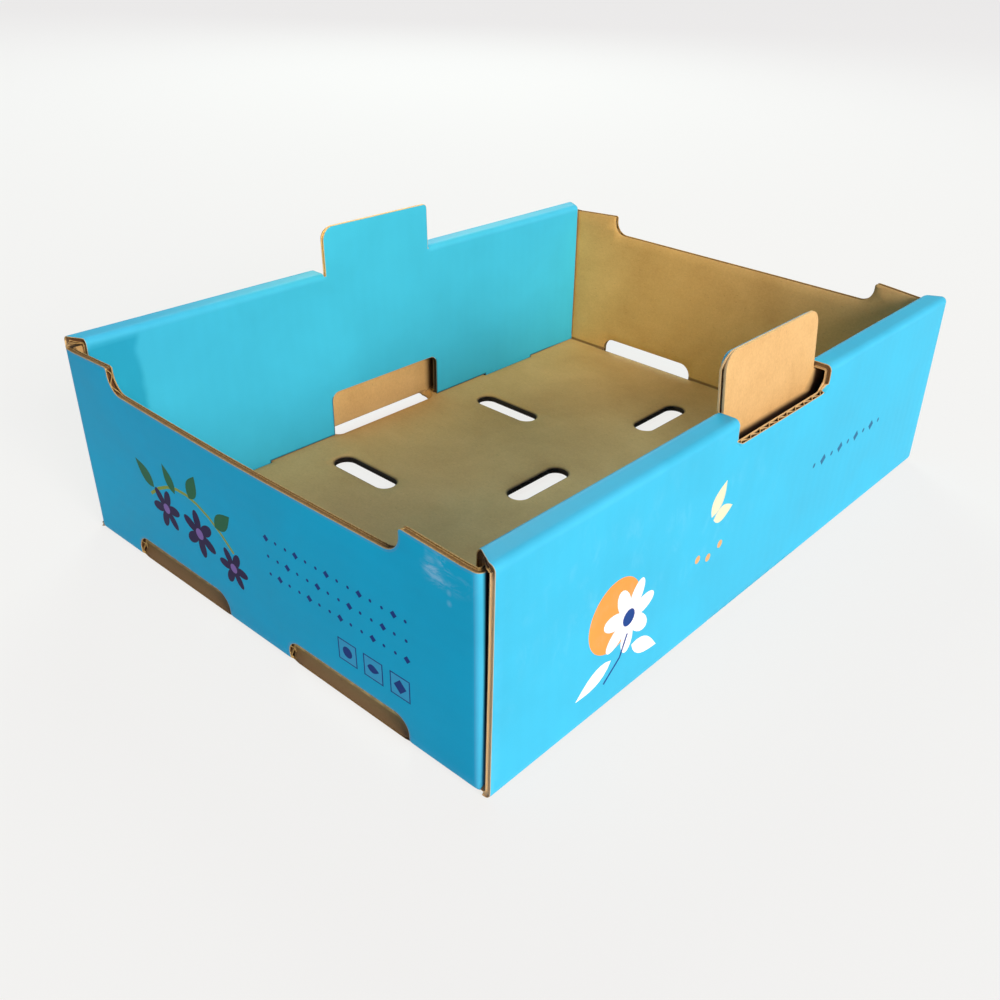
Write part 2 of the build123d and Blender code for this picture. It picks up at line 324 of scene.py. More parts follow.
def traceLoop(corners):
    # a closed cut in the flat sheet, with the board on its left, from (x, v, corner radius, shows its flutes)
    foldLines = [(0, row) for row in foldRows(floorEndX)]
    for start in (floorEndV, wallEnd, rimEnd, endFold):
        foldLines += [(1, row) for row in foldRows(start)]
    count = len(corners)
    points = [np.array(c[:2], float) for c in corners]
    rounds = []
    for i, corner in enumerate(corners):
        before, after = points[i - 1], points[(i + 1) % count]
        a = (points[i] - before) / np.linalg.norm(points[i] - before)
        b = (after - points[i]) / np.linalg.norm(after - points[i])
        turn = math.atan2(a[0] * b[1] - a[1] * b[0], a @ b)
        cut = corner[2] * abs(math.tan(turn / 2))
        rounds.append({"in": points[i] - a * cut, "out": points[i] + b * cut, "a": a, "b": b, "turn": turn,
                       "radius": corner[2], "waves": corner[3]})
    samples = []

    def add(point, normal, waves, bend, across):
        samples.append((point[0], point[1], normal[0], normal[1], waves, bend, across))

    for i, r in enumerate(rounds):
        rightA, rightB = np.array((r["a"][1], -r["a"][0])), np.array((r["b"][1], -r["b"][0]))
        waves = r["waves"] or rounds[i - 1]["waves"]
        if r["radius"] > 0:
            steps = max(4, math.ceil(abs(r["turn"]) * r["radius"] / (board["waveStep"] * 1.4)))
            centre = r["in"] - np.sign(r["turn"]) * r["radius"] * rightA
            for k in range(steps + 1):
                angle = r["turn"] * k / steps
                c, s = math.cos(angle), math.sin(angle)
                normal = np.array((c * rightA[0] - s * rightA[1], s * rightA[0] + c * rightA[1]))
                tangentX = abs(normal[1])
                add(centre + np.sign(r["turn"]) * r["radius"] * normal, normal, waves,
                    r["radius"] if r["turn"] > 0 else 99.0, tangentX)
        else:
            mitre = (rightA + rightB) / (1 + rightA @ rightB)
            add(r["in"], mitre, waves, 99.0, max(abs(r["a"][0]), abs(r["b"][0])))
        start, end = r["out"], rounds[(i + 1) % count]["in"]
        length = np.linalg.norm(end - start)
        if length < 1e-6:
            continue
        across = abs(r["b"][0])
        step = board["plainStep"]
        if r["waves"] and across > 0.15:
            step = min(step, board["waveStep"] / across)
        share = list(np.linspace(0, 1, math.ceil(length / step) + 1)[1:-1])
        for axis, value in foldLines:
            if abs(end[axis] - start[axis]) > 1e-6:
                t = (value - start[axis]) / (end[axis] - start[axis])
                if 1e-4 < t < 1 - 1e-4:
                    share = [u for u in share if abs(u - t) * length > 0.25] + [t]
        # no point so near a sharp corner that its edge row would fall behind the corner's own
        after = rounds[(i + 1) % count]
        clearStart = 0 if r["radius"] else (board["edgeRow"] + 0.1) * math.tan(max(0, r["turn"]) / 2)
        clearEnd = 0 if after["radius"] else (board["edgeRow"] + 0.1) * math.tan(max(0, after["turn"]) / 2)
        for t in sorted(share):
            if clearStart <= t * length <= length - clearEnd:
                add(start + (end - start) * t, rightB, r["waves"], 99.0, across)
    loop = np.array(samples)
    keep = np.linalg.norm(loop[:, :2] - np.roll(loop[:, :2], 1, 0), axis=1) > 0.05
    return loop[keep]


def mirrored(corners, flipX, flipV):
    # a loop of corners in another quarter of the sheet, still with the board on its left
    flipped = [(c[0] * flipX, c[1] * flipV, c[2], c[3]) for c in corners]
    if flipX * flipV > 0:
        return flipped
    # a segment's style belongs to its first corner, so it moves on when the order turns round
    flipped = flipped[::-1]
    styles = [c[3] for c in flipped]
    return [(c[0], c[1], c[2], styles[(i + 1) % len(flipped)]) for i, c in enumerate(flipped)]


def outlineQuarter():
    # the sheet's outer cut from the middle of an end wall's top edge to the middle of a side wall's foot
    low, lip, high = (uprightAt(tray[name]) for name in ("dipHeight", "lipHeight", "shoulderHeight"))
    foot, flapEnd = uprightAt(tray["panelFoot"]), flapAt(tray["flapLength"])
    dip = tray["dipLength"] / 2
    panelFoot, lockTip = innerPanelAt(tray["panelFoot"]), innerPanelAt(tray["lockTip"])
    lock, half = tray["lockX"], tray["lockHalf"]
    clear = halfLength - tray["cornerClear"]
    return [
        (low, dip, tray["dipRadius"], True),
        (lip, dip, tray["lipRadius"], True),
        (high, innerFace, 0, True),
        (high, flapEnd, tray["flapRadius"], True),
        (foot, flapEnd, tray["flapRadius"], False),
        (foot, flapStart + 1.5, 0, False),
        (sideHalf + 0.7, flapStart, 0, False),
        (sideHalf + 0.5, bandTop, 0, False),
        (bandFoot, endFold + 2.6, 0, False),
        (bandFoot, endFold, 0, False),
        (clear, endFold, 0, True),
        (clear, flapOuter - 0.8, 0, False),
        (sideHalf, flapOuter + 0.4, 0, False),
        (sideHalf, wallEnd, 0, True),
        (sideHalf, rimStart, 0, True),
        (innerHalf, rimAt(innerFace + 2), 0, True),
        (innerHalf, panelFoot, 0, False),
        (lock + half, panelFoot, 0, False),
        (lock + half, lockTip, tray["lockRadius"], False),
        (lock - half, lockTip, tray["lockRadius"], False),
        (lock - half, panelFoot, 0, False),
        (tray["notchHalf"], panelFoot, 0, True),
        (tray["notchHalf"], innerPanelAt(tray["notchTop"]), tray["notchRadius"], True),
    ]


def wholeOutline():
    quarterCorners = outlineQuarter()
    loop = []
    for flipX, flipV in ((1, 1), (-1, 1), (-1, -1), (1, -1)):
        loop += mirrored(quarterCorners, flipX, flipV)
    return loop


def holeBox(x0, x1, v0, v1, r, waves):
    # clockwise, so that the board is on the left
    return [(x0, v0, r, waves), (x0, v1, r, waves), (x1, v1, r, waves), (x1, v0, r, waves)]


def cutoutLoop(side):
    # the cut between a stacking tab and the hole it leaves: out along the hole, back along the tab
    half, play = tray["tabHalf"], tray["tabPlay"]
    hole = outerPanelAt(tray["cutoutHeight"])
    farHole, farTab = (tray["crispCutoutRadius"], tray["crispTabRadius"]) if side > 0 else (
        tray["cutoutRadius"], tray["tabRadius"])
    root = panelStart - tray["tabRootRise"]
    outer = [(half + play, root, 0, True), (half + play, hole, farHole, True),
             (-half - play, hole, tray["cutoutRadius"], True), (-half - play, root, 0, False)]
    tab = [(-half, root, 0, True), (-half, tabTopStation, tray["tabRadius"], True),
           (half, tabTopStation, farTab, True), (half, root, 0, False)]
    loop = outer + tab
    return loop if side > 0 else mirrored(loop, 1, -1)


def allLoops():
    # every cut in the sheet with its kind, the outer one first
    loops = [("outline", wholeOutline())]
    slotL, slotW = tray["slotLength"] / 2, tray["slotWidth"] / 2
    slots = [(x, 0, slotL, slotW) for x in (-tray["endSlotX"], 0, tray["endSlotX"])]
    slots += [(x, v, slotW, slotL) for x in (-tray["crossSlotX"], tray["crossSlotX"])
              for v in (-tray["crossSlotY"], tray["crossSlotY"])]
    for x, v, a, b in slots:
        loops.append(("floorSlot", holeBox(x - a, x + a, v - b, v + b, slotW - 1e-3, True)))
    for side in (-1, 1):
        loops.append(("cutout", cutoutLoop(side)))
        # the stacking slot runs a little into the fold of the side wall
        inner, outer = tray["stackInner"] - lean["panelFootIn"], floorEndV + tray["stackOver"][side > 0]
        near, far = -tray["stackHalf"], tray["stackHalf"] - tray["stackFarEnd"]
        stack = [(near, inner), (near, outer), (far, outer), (far, inner)]
        stack = [(*corner, r, False) for corner, r in zip(stack, tray["stackRadius"])]
        loops.append(("stackSlot", stack if side > 0 else mirrored(stack, 1, -1)))
        lockV = sorted((side * (innerFace - lean["panelFootIn"] - tray["lockSidePlay"]),
                        side * (innerBack + tray["lockSidePlay"])))
        reach = tray["lockHalf"] + tray["lockEndPlay"]
        for x in (-tray["lockX"], tray["lockX"]):
            loops.append(("lockSlot", holeBox(x - reach, x + reach, *lockV, 0, False)))
    ledge = halfLength - tray["ventLedge"]
    top = uprightAt(tray["ventHeight"])
    for end in (-1, 1):
        for middle in (-tray["ventSpacing"] / 2, tray["ventSpacing"] / 2):
            low, high = middle - tray["ventLength"] / 2, middle + tray["ventLength"] / 2
            corners = [(ledge, low, 0, True), (ledge, high, 0, True),
                       (top, high, tray["ventRadius"], True), (top, low, tray["ventRadius"], True)]
            loops.append(("vent", corners if end > 0 else mirrored(corners, -1, 1)))
    return loops


def signedArea(points):
    nextOnes = np.roll(points, -1, 0)
    return 0.5 * np.sum(points[:, 0] * nextOnes[:, 1] - nextOnes[:, 0] * points[:, 1])


traced = []
for kind, corners in allLoops():
    loop = traceLoop(corners)
    if (signedArea(loop[:, :2]) > 0) != (kind == "outline"):
        print("this cut runs the wrong way round:", kind)
    traced.append((kind, loop))
print("cuts traced:", len(traced), "loops,", sum(len(loop) for _, loop in traced), "points")

# colours of the print, as the eye sees them
inks = {
    # the side walls' blue has a painted sheen in it
    "film": (0.244, 0.716, 0.822),
    "filmShadedEnd": (0.070, 0.745, 0.845),   # the same blue without the side walls' painted sheen, so painted shade for the end walls
    "orange": (0.93, 0.60, 0.27),
    "white": (0.95, 0.95, 0.93),
    "navy": (0.10, 0.25, 0.50),
    "cream": (0.86, 0.86, 0.70),
    "tan": (0.85, 0.66, 0.42),
    "slate": (0.16, 0.42, 0.55),
    "plum": (0.16, 0.10, 0.27),
    "lilac": (0.58, 0.45, 0.68),
    "leaf": (0.16, 0.45, 0.27),
    "stem": (0.62, 0.70, 0.26),
}


def toLinear(colour, alpha=1.0):
    return [c / 12.92 if c <= 0.04045 else ((c + 0.055) / 1.055) ** 2.4 for c in colour] + [alpha]


def turned(ring, cx, cy, turn=0.0):
    # a ring of points turned round its own origin and moved to its place
    c, s = math.cos(math.radians(turn)), math.sin(math.radians(turn))
    return [(cx + c * p - s * q, cy + s * p + c * q) for p, q in ring]


def ellipse(cx, cy, a, b, turn=0.0, count=None):
    count = count or max(12, int(6 * math.sqrt(a + b)))
    ring = [(a * math.cos(t), b * math.sin(t)) for t in (2 * math.pi * k / count for k in range(count))]
    return turned(ring, cx, cy, turn)


def leaf(cx, cy, length, width, turn):
    # a pointed leaf between two arcs, from its stalk end
    steps = 8
    side = [(length * k / steps, width / 2 * math.sin(math.pi * (k / steps) ** 0.8))
            for k in range(steps + 1)]
    return turned(side + [(p, -q) for p, q in side[-2:0:-1]], cx, cy, turn)


def bar(cx, cy, length, width, turn=0.0):
    a, b = length / 2, width / 2
    return turned([(a, b), (-a, b), (-a, -b), (a, -b)], cx, cy, turn)


def bentLine(points, width):
    # a drawn line of even width through a few points
    left, right = [], []
    for i, p in enumerate(points):
        a, b = points[max(0, i - 1)], points[min(len(points) - 1, i + 1)]
        along = Vector((b[0] - a[0], b[1] - a[1])).normalized()
        left.append((p[0] - along.y * width / 2, p[1] + along.x * width / 2))
        right.append((p[0] + along.y * width / 2, p[1] - along.x * width / 2))
    return left + right[::-1]


def flower(cx, cy, size, petals, turn, petalInk, heartInk):
    shapes = []
    for k in range(petals):
        angle = turn + 360 * k / petals
        c, s = math.cos(math.radians(angle)), math.sin(math.radians(angle))
        petal = ellipse(cx + 0.58 * size * c, cy + 0.58 * size * s, 0.45 * size, 0.24 * size, angle)
        shapes.append((petalInk, petal))
    shapes.append((heartInk, ellipse(cx, cy, 0.24 * size, 0.24 * size)))
    return shapes


# simple shapes printed on the front side wall; across from its middle, up from the bench
frontArt = {
    "disc": (-118, 46, 17),
    "flower": (-108, 40, 17, 7, 12),   # place, size, petals and turn
    "stalk": [(-122, 14), (-112, 22), (-108, 32)], "stalkWidth": 1.2,
    "whiteLeaves": [(-118, 24, 24, 8, 200), (-104, 24, 22, 8, -28)],   # place, length, width and turn
    "creamLeaves": [(-52, 62, 17, 9, 62), (-50, 60, 15, 8, 6)],
    "dots": [(-58, 44), (-49, 41), (-40, 44)], "dotSize": 2.0,
    "rowStart": 46, "rowUp": 50, "rowStep": 9.5, "rowCount": 9, "rowBar": 4.2, "rowDot": 1.3,
}
# and on the near end wall; across from its middle, to the right as one faces it
nearArt = {
    "stemStart": -74, "stemStep": 8, "stemCount": 9, "stemTop": 58, "stemPeak": 30, "stemArch": 0.045,
    "stemStretch": 3.2, "stemWidth": 1.6,
    "leaves": [(-70, 50, 17, 8, 140), (-40, 57, 16, 8, 62), (-22, 50, 17, 8, 40), (-52, 54, 15, 7, 118)],
    "flowers": [(-62, 42, 11, 6, 10), (-36, 40, 12, 6, 35), (-12, 33, 10, 6, 0)],
    "patternStart": (16, 62), "patternStep": (6.2, 9), "patternCount": (14, 3),
    "patternBar": 2.6, "patternDot": 0.8,
    "frameStart": (62, 28), "frameStep": 15, "frameOuter": 11, "frameInner": 9.8,
}


def frontPrint():
    x, up, size = frontArt["disc"]
    shapes = [("orange", ellipse(x, up, size, size, count=48))]
    shapes += flower(*frontArt["flower"], "white", "navy")
    shapes += [("white", leaf(*values)) for values in frontArt["whiteLeaves"]]
    shapes += [("navy", bentLine(frontArt["stalk"], frontArt["stalkWidth"]))]
    shapes += [("cream", leaf(*values)) for values in frontArt["creamLeaves"]]
    size, dot, square = frontArt["dotSize"], frontArt["rowDot"], frontArt["rowBar"]
    shapes += [("tan", ellipse(*place, size, size)) for place in frontArt["dots"]]
    for k in range(frontArt["rowCount"]):
        place = frontArt["rowStart"] + frontArt["rowStep"] * k, frontArt["rowUp"]
        shapes.append(("slate", bar(*place, square, square, 45) if k % 2 else ellipse(*place, dot, dot)))
    return shapes


def nearPrint():
    stem = []
    for k in range(nearArt["stemCount"]):
        along = nearArt["stemStep"] * k
        fall = nearArt["stemArch"] * (along - nearArt["stemPeak"]) ** 2 / nearArt["stemStretch"]
        stem.append((nearArt["stemStart"] + along, nearArt["stemTop"] - fall))
    shapes = [("stem", bentLine(stem, nearArt["stemWidth"]))]
    shapes += [("leaf", leaf(*values)) for values in nearArt["leaves"]]
    for values in nearArt["flowers"]:
        shapes += flower(*values, "plum", "lilac")
    (startX, startUp), (stepX, stepUp) = nearArt["patternStart"], nearArt["patternStep"]
    count, rows = nearArt["patternCount"]
    square, dot = nearArt["patternBar"], nearArt["patternDot"]
    for row in range(rows):
        for k in range(count):
            place = startX + stepX * k, startUp - stepUp * row
            isSquare = (k + row) % 3 == 0
            shape = bar(*place, square, square, 45) if isSquare else ellipse(*place, dot, dot, count=10)
            shapes.append(("navy", shape))
    frameX, up = nearArt["frameStart"]
    for k in range(3):
        x = frameX + nearArt["frameStep"] * k
        for ink, size in (("navy", nearArt["frameOuter"]), ("film", nearArt["frameInner"])):
            shapes.append((ink, bar(x, up, size, size)))
        inside = ellipse(x, up, 2.8, 2.8), leaf(x - 3.4, up, 6.8, 4.2, 0), bar(x, up, 5, 5, 45)
        shapes.append(("navy", inside[k]))
    return shapes


def placedPrint():
    # the shapes as closed rings in the flat sheet, later ones on top
    rings = []
    for ink, ring in frontPrint():
        rings.append((ink, [(across, -outerPanelAt(up)) for across, up in ring]))
    for ink, ring in nearPrint():
        rings.append((ink, [(-uprightAt(up), -across) for across, up in ring]))
    return [(ink, ring if signedArea(np.array(ring)) > 0 else ring[::-1]) for ink, ring in rings]


# how closely the inside of the sheet is filled with points
fill = {
    "besideFold": (1.2, 2.8, 4.4),   # rows beside the end walls' foot; the first also beside other folds
    "shadeRows": (91.0, 88.0),   # heights on the inner panels between which the tabs' backs grow dark
    "tabBeside": 1.6, "rowGap": 2.0,
    "clearPlain": 1.4, "clearFold": 0.3, "longStep": 1.5,   # how near a cut a point may come
}


def meshPoints(loops, printed):
    # regular points inside the sheet, with closer rows along the folds
    step, close = board["gridStep"], fill["besideFold"][0]
    foldX = foldRows(floorEndX)
    foldX += [s * u for s in (-1, 1) for d in fill["besideFold"] for u in (floorEndX - d, uprightStart + d)]
    foldX += [s * (tray["tabHalf"] + fill["tabBeside"]) for s in (-1, 1)]
    foldV = []
    for start in (floorEndV, wallEnd, rimEnd, endFold):
        foldV += foldRows(start)
        foldV += [s * u for s in (-1, 1) for u in (start - close, start + quarter + close)]
    foldV += [s * innerPanelAt(z) for s in (-1, 1) for z in fill["shadeRows"]]

    def spread(reach, folds):
        rows = [k * step for k in range(int(-reach / step), int(reach / step) + 1)]
        rows = [r for r in rows if min(abs(r - f) for f in folds) > fill["rowGap"]]
        return sorted(rows + folds)

    xRows = spread(uprightAt(tray["lipHeight"]), foldX)
    vRows = spread(innerPanelAt(tray["lockTip"]), foldV)
    grid = np.array([(x, v) for x in xRows for v in vRows])
    # rows of the side folds don't belong on the end walls, nor those of the end folds on the side walls
    ax, av = np.abs(grid[:, 0]), np.abs(grid[:, 1])
    grid = grid[(ax <= sideHalf) | (av <= flapAt(tray["flapLength"]))]
    edges = [np.array(ring) for ring in loops + [ring for _, ring in printed]]
    around = np.concatenate(edges)
    near = np.full(len(grid), 99.0)
    for begin in range(0, len(around), 400):
        part = around[begin:begin + 400]
        gap = np.sqrt(((grid[:, None, :] - part[None, :, :]) ** 2).sum(2)).min(1)
        near = np.minimum(near, gap)
    # beside the long plain cuts the samples stand far apart, so points near the line itself go too
    for ring in edges:
        a, b = ring, np.roll(ring, -1, 0)
        long = np.linalg.norm(b - a, axis=1) > fill["longStep"]
        for p, q in zip(a[long], b[long]):
            d = q - p
            t = np.clip(((grid - p) @ d) / (d @ d), 0, 1)
            gap = np.linalg.norm(grid - (p + t[:, None] * d), axis=1)
            near = np.minimum(near, gap)
    onFold = np.isin(grid[:, 0], foldX) | np.isin(grid[:, 1], foldV)
    return grid[near > np.where(onFold, fill["clearFold"], fill["clearPlain"])]


def fillSheet(loops, printed):
    # triangles over the sheet between its cuts, with the ink of each
    ring = [tuple(p) for loop in loops for p in loop]
    faces, start = [], 0
    for number, loop in enumerate(loops):
        ids = list(range(start, start + len(loop)))
        faces.append(ids if number == 0 else ids[::-1])
        start += len(loop)
    points = list(ring)
    for _, shape in printed:
        faces.append(list(range(len(points), len(points) + len(shape))))
        points += [tuple(p) for p in shape]
    points += [tuple(p) for p in meshPoints(loops, printed)]
    found = delaunay_2d_cdt([Vector(p) for p in points], [], faces, 0, 1e-5, True)
    places, triangles, fromPoint, fromFace = found[0], found[2], found[3], found[5]
    holes = set(range(1, len(loops)))
    keep, ink = [], []
    for triangle, inside in zip(triangles, fromFace):
        if 0 not in inside or holes.intersection(inside):
            continue
        tops = [i for i in inside if i >= len(loops)]
        keep.append(list(triangle))
        middle = sum((places[i] for i in triangle), Vector((0, 0))) / 3
        onEndWall = abs(middle.x) > floorEndX and abs(middle.y) < endFold
        # the end walls take the blue with the painted shade
        ink.append(printed[max(tops) - len(loops)][0] if tops else "filmShadedEnd" if onEndWall else "film")
    # each point of a cut keeps its own number; the rest are new
    number = []
    for ids in fromPoint:
        own = [i for i in ids if i < len(ring)]
        number.append(own[0] if own else -1)
    return np.array([tuple(p) for p in places]), keep, ink, number


# how the knife leaves a raw edge
rawEdge = {
    "mitreLimit": 1.6,
    "openFrom": (0.35, 0.7),     # how squarely a cut crosses the flutes before they show as pockets
    "closedDepth": 0.37,         # share of the pockets' depth where it runs along them
    "plainDepth": 0.5, "tabDepth": 0.9, "tabTopShallower": 0.78,
    "bendShare": 0.6, "leastDepth": 0.3,   # a hollow corner has less room for pockets
    "fluteReach": 0.97,          # how near the fluted sheet comes to the liners
    "sunkShare": 0.6, "sunkMost": 0.9, "wallDepth": 0.12, "torn": 0.3, "tornFrom": 0.45, "tornScale": 0.9,
    "pocketDark": (0.4, 1.2),    # depths at which the painted shade in a pocket sets in and is full
    "tabPaleEdge": 1.4,
}
# painted shade between the layers of the folded tray: how dark the colour is made where little light gets in
hidden = {
    "slack": 0.01,               # for asking whether a point lies on a line
    "foldFrom": (0.62, 1.0), "foldKraftLess": 0.75,   # round the corner folds, as shares of the fold
    "hollow": 0.9,
    "tabFade": (90.5, 88.0), "wallFade": (100.5, 98.0),   # heights where the painted shade of the hollow walls sets in
    "notchFade": (36.0, 44.0),   # less painted shade where light comes in through a notch
    "endLight": 0.65, "endFade": (150.0, 180.0),   # and through the open ends
    "byNotch": 0.8, "byNotchWide": 1.7,
    "skin": 0.02,
}


def cutBand(kind, loop):
    # the rows of points of one raw edge, from the printed side over the fluted sheet to the kraft side;
    # each has its place in the flat sheet, its depth, whether it lies on the cut and how much painted shade
    # it gets deep in a pocket
    p, m = loop[:, :2], loop[:, 2:4]
    waves, bend, across = loop[:, 4] > 0, loop[:, 5], loop[:, 6]
    mitre = np.minimum(1.0, rawEdge["mitreLimit"] / np.maximum(np.linalg.norm(m, axis=1), 1e-6))[:, None]
    ax, av, slack = np.abs(p[:, 0]), np.abs(p[:, 1]), hidden["slack"]
    onLedge = (np.abs(ax - halfLength + tray["ventLedge"]) < slack) & (av < endFold)
    onTab = (ax < tray["tabHalf"] + slack) & (av > tabTopStation - slack) & (av < panelStart + slack)
    onPanelEnd = (np.abs(ax - sideHalf) < slack) & (av > endFold) & (av < wallEnd + slack)
    # the board is pressed thinner beside the knife
    tabSide, tabTop, tabFilm = (np.where(p[:, 1] < 0, *board[name]) for name in (
        "tabSideDrop", "tabTopDrop", "tabFilmDrop"))
    near, far = (tray["stackHalf"] - d for d in board["slotEndZone"])
    slotEnd = (kind == "stackSlot") * (p[:, 1] > 0) * smooth(p[:, 0], far, near)
    low = (board["filmDrop"] + tabFilm * across * onTab) / thick
    high = 1 - np.select([onLedge, onTab, onPanelEnd], [
        board["ledgeDrop"], tabSide + (tabTop - tabSide) * across, board["panelDrop"]],
        board["kraftDrop"] + board["slotEndDrop"] * slotEnd) / thick
    row = np.where(onLedge, board["ledgeRow"], board["edgeRow"] + board["slotEndRow"] * slotEnd)
    inset = p - row[:, None] * m
    showing = smooth(across, *rawEdge["openFrom"]) * waves * ~onTab
    depth = np.where(waves, board["pocketDepth"] * (
        rawEdge["closedDepth"] + (1 - rawEdge["closedDepth"]) * showing), rawEdge["plainDepth"])
    depth = np.where(onTab, rawEdge["tabDepth"] - rawEdge["tabTopShallower"] * across, depth)
    depth = np.minimum(depth, np.maximum(rawEdge["bendShare"] * bend, rawEdge["leastDepth"]))
    inside = p - depth[:, None] * m * mitre
    # along the flutes the fluted sheet lies against one liner, across them it waves from one to the other
    half = board["fluteWall"] / thick / 2
    skin = np.where(onTab, board["tabSkin"], board["liner"]) / thick
    swing = (0.5 - skin - half) * rawEdge["fluteReach"]
    phase = 2 * math.pi * p[:, 0] / board["flutePitch"] + board["flutePhase"]
    centre = 0.5 + swing * (showing * np.cos(phase) + (1 - showing))
    scale = rawEdge["tornScale"]
    rough = np.array([noise.noise(Vector((a * scale, b * scale, 3.1))) for a, b in p])
    sunk = np.minimum(depth * rawEdge["sunkShare"], rawEdge["sunkMost"])
    sunk = np.where(waves & ~onTab, (1 - showing) * sunk, 0)
    torn = rawEdge["torn"] * np.abs(rough) * (depth > rawEdge["tornFrom"])
    wall = p - (rawEdge["wallDepth"] + torn + sunk)[:, None] * m * mitre
    span = high - low
    fluteLow, fluteHigh = low + span * (centre - half), low + span * (centre + half)
    filmIn, kraftIn = low + skin * span, high - skin * span
    dark = smooth(depth, *rawEdge["pocketDark"])
    rows = [
        (inset, 0.0, 0, 0), (p, low, 1, 0), (p, filmIn, 1, 0), (inside, filmIn, 1, dark),
        (inside, fluteLow, 1, dark), (wall, fluteLow, 1, 0), (wall, fluteHigh, 1, 0),
        (inside, fluteHigh, 1, dark), (inside, kraftIn, 1, dark), (p, kraftIn, 1, 0),
        (p, high, 1, 0), (inset, 1.0, 0, 0)]
    # the tabs, the outer panels' ends and the cut-outs get paler raw edges
    paleEdge = np.where(onPanelEnd | onTab, rawEdge["tabPaleEdge"], float(kind == "cutout"))
    return rows, paleEdge


def paintedShadeAt(x, v, w, place):
    # painted shade: how much each point's colour is darkened for the light that the layers round it keep off
    ax, av, z = np.abs(x), np.abs(v), place[:, 2]
    # the corner flaps' faces inside the hollow walls get painted shade
    foldFrom, foldTo = (endFold + quarter * share for share in hidden["foldFrom"])
    behindFold = smooth(av, foldFrom, foldTo) * belongsToEnd(x, v) * (1 - hidden["foldKraftLess"] * w)
    # and so does the kraft side within the hollow walls, less where a notch or an open end lets light in
    (tabHigh, tabLow), (wallHigh, wallLow) = hidden["tabFade"], hidden["wallFade"]
    deepIn = np.where(ax < tray["tabHalf"], smooth(-z, -tabHigh, -tabLow), smooth(-z, -wallHigh, -wallLow))
    deepIn *= np.where(ax < tray["notchHalf"] + 0.5, smooth(z, *hidden["notchFade"]), 1.0)
    inWall = (w > hidden["skin"]) * (av > wallStart) * (ax < sideHalf + 0.5)
    hollow = hidden["hollow"] * deepIn * inWall * (1 - hidden["endLight"] * smooth(ax, *hidden["endFade"]))
    # painted shade on the cut edge beside each notch
    byNotch = (np.abs(ax - tray["notchHalf"] - 1) < hidden["byNotchWide"]) * hidden["byNotch"]
    byNotch *= (av > innerPanelAt(tray["notchTop"])) * (w > hidden["skin"]) * (w < 1 - hidden["skin"])
    return behindFold, hollow, byNotch


def buildSheet():
    printed = placedPrint()
    points = {name: [] for name in ("x", "v", "w", "cutRim", "pocketShade", "paintedShade", "paleEdge")}
    faces, slots, faceInk, insets, starts = [], [], [], [], []
    total = 0

    def addPoints(place, depth, cutRim=0, pocketShade=0, paintedShade=0, paleEdge=0):
        values = place[:, 0], place[:, 1], np.clip(depth, 0, 1), cutRim, pocketShade, paintedShade, paleEdge
        for name, value in zip(points, values):
            points[name].append(np.broadcast_to(np.asarray(value, float), len(place)))

    for kind, loop in traced:
        rows, paleEdge = cutBand(kind, loop)
        n = len(loop)
        for place, depth, cutRim, pocketShade in rows:
            # the floor slots' cut walls get painted shade
            addPoints(place, depth, cutRim, pocketShade, cutRim * (kind == "floorSlot"), paleEdge * cutRim)
        for k in range(n):
            after = (k + 1) % n
            for j in range(len(rows) - 1):
                a, b = total + j * n, total + (j + 1) * n
                faces.append((a + k, a + after, b + after, b + k))
                slots.append(0 if j == 0 else 1 if j == len(rows) - 2 else 2)
                faceInk.append("film")
        insets.append(rows[0][0])
        starts.append((total, n, len(rows)))
        total += n * len(rows)
    # the liners between the cuts: the printed one carries the print's outlines, the kraft one doesn't
    for depth, shapes, slot in ((0.0, printed, 0), (1.0, [], 1)):
        places, triangles, ink, number = fillSheet(insets, shapes)
        owners = []
        for start, n, rowCount in starts:
            first = start + slot * (rowCount - 1) * n
            owners += list(range(first, first + n))
        used = {i for triangle in triangles for i in triangle}
        index, added = {}, []
        for i, own in enumerate(number):
            if own >= 0:
                index[i] = owners[own]
            elif i in used:
                index[i] = total + len(added)
                added.append(places[i])
        addPoints(np.array(added), depth)
        total += len(added)
        for triangle, colour in zip(triangles, ink):
            corners = [index[i] for i in triangle]
            faces.append(corners if slot else corners[::-1])    # each liner faces away from the board
            slots.append(slot)
            faceInk.append(colour)

    x, v, w, cutRim, pocketShade, paintedShade, paleEdge = (np.concatenate(values) for values in points.values())
    place, trueV = foldUp(x, v, w)
    mesh = bpy.data.meshes.new("foldedBoard")
    mesh.from_pydata([tuple(p) for p in place * 0.001], [], faces)
    mesh.polygons.foreach_set("material_index", slots)
    flatPlace = np.stack([x, trueV, w * thick], 1) * 0.001
    flat = mesh.attributes.new("flatPlace", "FLOAT_VECTOR", "POINT")
    flat.data.foreach_set("vector", flatPlace.astype(np.float32).ravel())
    behindFold, hollow, byNotch = paintedShadeAt(x, v, w, place)
    # the paler raw edges get none of the painted shade of the hollows
    hollow *= 1 - np.clip(paleEdge, 0, 1)
    # all the painted shade together
    paintedShade = np.maximum.reduce([paintedShade, behindFold, hollow, byNotch])
    for name, values in (("cutRim", cutRim), ("pocketShade", pocketShade), ("paintedShade", paintedShade), ("paleEdge", paleEdge),
                         ("crease", creaseAt(x, v))):
        attribute = mesh.attributes.new(name, "FLOAT", "POINT")
        attribute.data.foreach_set("value", values.astype(np.float32))
    linear = {name: toLinear(colour, float(not name.startswith("film"))) for name, colour in inks.items()}
    ink = mesh.attributes.new("ink", "FLOAT_COLOR", "CORNER")
    colours = []
    for polygon, name in zip(mesh.polygons, faceInk):
        colours += linear[name] * polygon.loop_total
    ink.data.foreach_set("color", colours)
    sheet = bpy.data.objects.new("foldedTray", mesh)
    bpy.context.scene.collection.objects.link(sheet)
    return sheet


